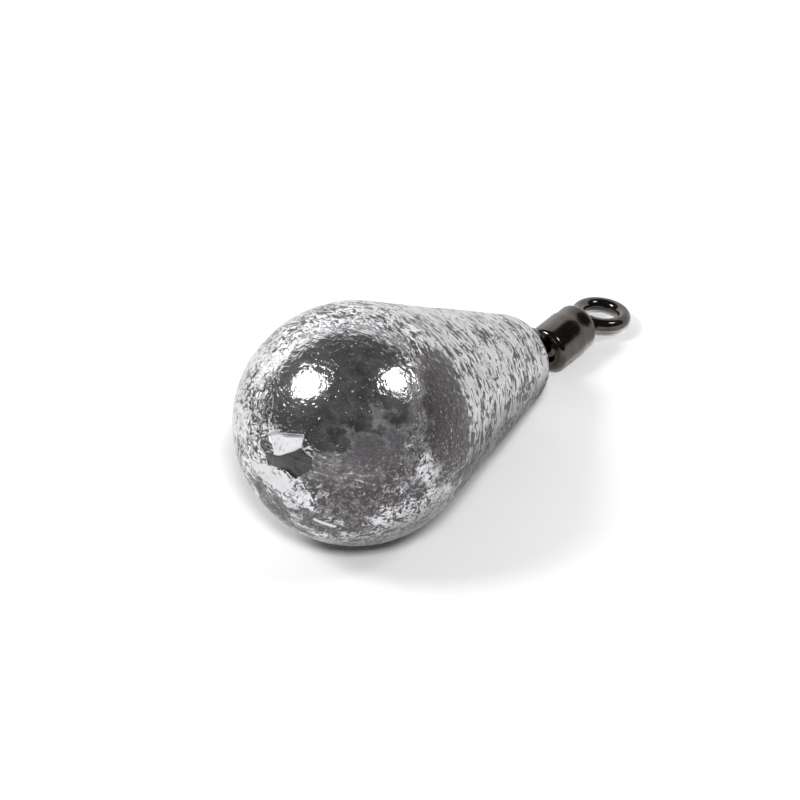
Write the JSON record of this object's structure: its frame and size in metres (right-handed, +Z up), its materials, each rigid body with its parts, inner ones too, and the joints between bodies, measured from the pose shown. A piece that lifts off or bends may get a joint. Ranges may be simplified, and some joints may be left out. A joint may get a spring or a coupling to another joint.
{
  "type": "fishing sinker",
  "caption": "Drop-shaped cast lead fishing sinker with a dark barrel swivel cast into its narrow nose and a round wire eye for the line.",
  "frame": {"origin": "on the table under the middle of the whole sinker, which lies on the side of its taper", "axes": "+Z up, +X level along the sinker from its heavy ball end towards the line eye, +Y across it"},
  "size_m": [0.0396, 0.0168, 0.0168],
  "materials": {
    "cast_lead": "bare cast lead with a bright, wrinkled skin and a worn sheen",
    "dark_plated_wire": "dark nickel plating, glossy",
    "dark_plated_barrel": "dark nickel plating, glossy with a brown cast"
  },
  "bodies": {
    "lead": {"lead_weight": "cast_lead", "anchor_eye": "dark_plated_wire"},
    "barrel": {"swivel_barrel": "dark_plated_barrel"},
    "eye": {"line_eye": "dark_plated_wire"}
  },
  "joints": [
    {"name": "barrel_spin", "type": "hinge", "parent": "lead", "child": "barrel", "pos_m": [0.01175, 0, 0.00179], "axis": [0.9999, 0, 0.0122], "continuous": true},
    {"name": "eye_spin", "type": "hinge", "parent": "barrel", "child": "eye", "pos_m": [0.01368, 0, 0.00182], "axis": [0.9832, 0, -0.1823], "continuous": true}
  ]
}
